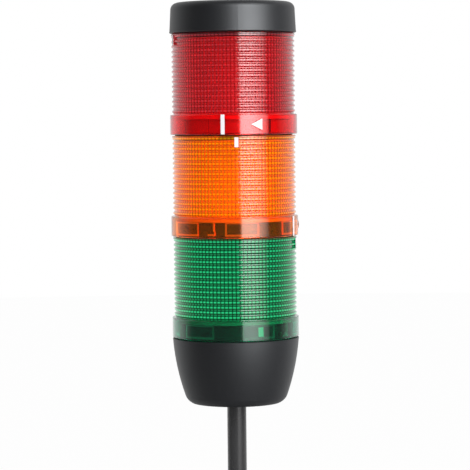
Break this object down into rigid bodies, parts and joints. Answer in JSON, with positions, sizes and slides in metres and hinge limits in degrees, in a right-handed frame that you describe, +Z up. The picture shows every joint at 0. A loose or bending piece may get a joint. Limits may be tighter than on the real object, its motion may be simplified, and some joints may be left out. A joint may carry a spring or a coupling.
{
  "type": "stack light",
  "caption": "Round stack light: three ribbed clear lens modules, twist-locked on a black wired base under a black cap, with a round lead below.",
  "frame": {"origin": "centre of the base's flat underside", "axes": "+Z up the stack, from the base to the cap; -Y is the front"},
  "size_m": [0.0782, 0.0739, 0.5428],
  "materials": {
    "black_housing": "fine-grained moulded black plastic, half matt",
    "green_lens": "clear green moulded lens, glossy",
    "amber_lens": "clear amber moulded lens, glossy",
    "red_lens": "clear red moulded lens, glossy",
    "white_carrier": "plain white moulding",
    "brass": "turned",
    "screw_steel": "zinc plated",
    "circuit_board": "white solder mask",
    "terminal_plastic": "moulded green",
    "seal_rubber": "soft black rubber",
    "tie_plastic": "nylon",
    "core_insulation": "smooth insulation",
    "lead_jacket": "smooth black jacket, slight sheen",
    "strap_fabric": "woven hook-and-loop strap",
    "ferrule_metal": "tinned",
    "led_package": "phosphor under clear resin"
  },
  "bodies": {
    "base": {"base_housing": "black_housing", "threaded_inserts": "brass", "contact_plate": "black_housing", "plate_screws": "screw_steel", "base_contact_pins": "brass", "base_board": "circuit_board", "terminal_block": "terminal_plastic", "terminal_screws": "screw_steel", "base_seal": "seal_rubber", "cable_grommet": "seal_rubber", "clamp_tie": "tie_plastic", "lead_cores": "core_insulation", "lead": "lead_jacket", "lead_hank": "lead_jacket", "lead_tail": "lead_jacket", "hank_strap": "strap_fabric", "end_cores": "core_insulation", "end_ferrules": "ferrule_metal"},
    "green_module": {"green_lens": "green_lens", "green_carrier": "white_carrier", "green_contact_pins": "brass", "green_led_boards": "circuit_board", "green_leds": "led_package", "green_contact_head": "white_carrier", "green_seal": "seal_rubber"},
    "amber_module": {"amber_lens": "amber_lens", "amber_carrier": "white_carrier", "amber_contact_pins": "brass", "amber_led_boards": "circuit_board", "amber_leds": "led_package", "amber_contact_head": "white_carrier", "amber_seal": "seal_rubber"},
    "red_module": {"red_lens": "red_lens", "red_carrier": "white_carrier", "red_contact_pins": "brass", "red_led_boards": "circuit_board", "red_leds": "led_package", "red_contact_head": "white_carrier", "red_seal": "seal_rubber"},
    "cap": {"cap": "black_housing"}
  },
  "joints": [
    {"name": "green_twist", "type": "hinge", "parent": "base", "child": "green_module", "pos_m": [0, 0, 0.0365], "axis": [0, 0, 1], "range_deg": [0, 12]},
    {"name": "amber_twist", "type": "hinge", "parent": "green_module", "child": "amber_module", "pos_m": [0, 0, 0.0923], "axis": [0, 0, 1], "range_deg": [0, 12]},
    {"name": "red_twist", "type": "hinge", "parent": "amber_module", "child": "red_module", "pos_m": [0, 0, 0.1481], "axis": [0, 0, 1], "range_deg": [0, 12]},
    {"name": "cap_twist", "type": "hinge", "parent": "red_module", "child": "cap", "pos_m": [0, 0, 0.2039], "axis": [0, 0, 1], "range_deg": [0, 12]}
  ]
}
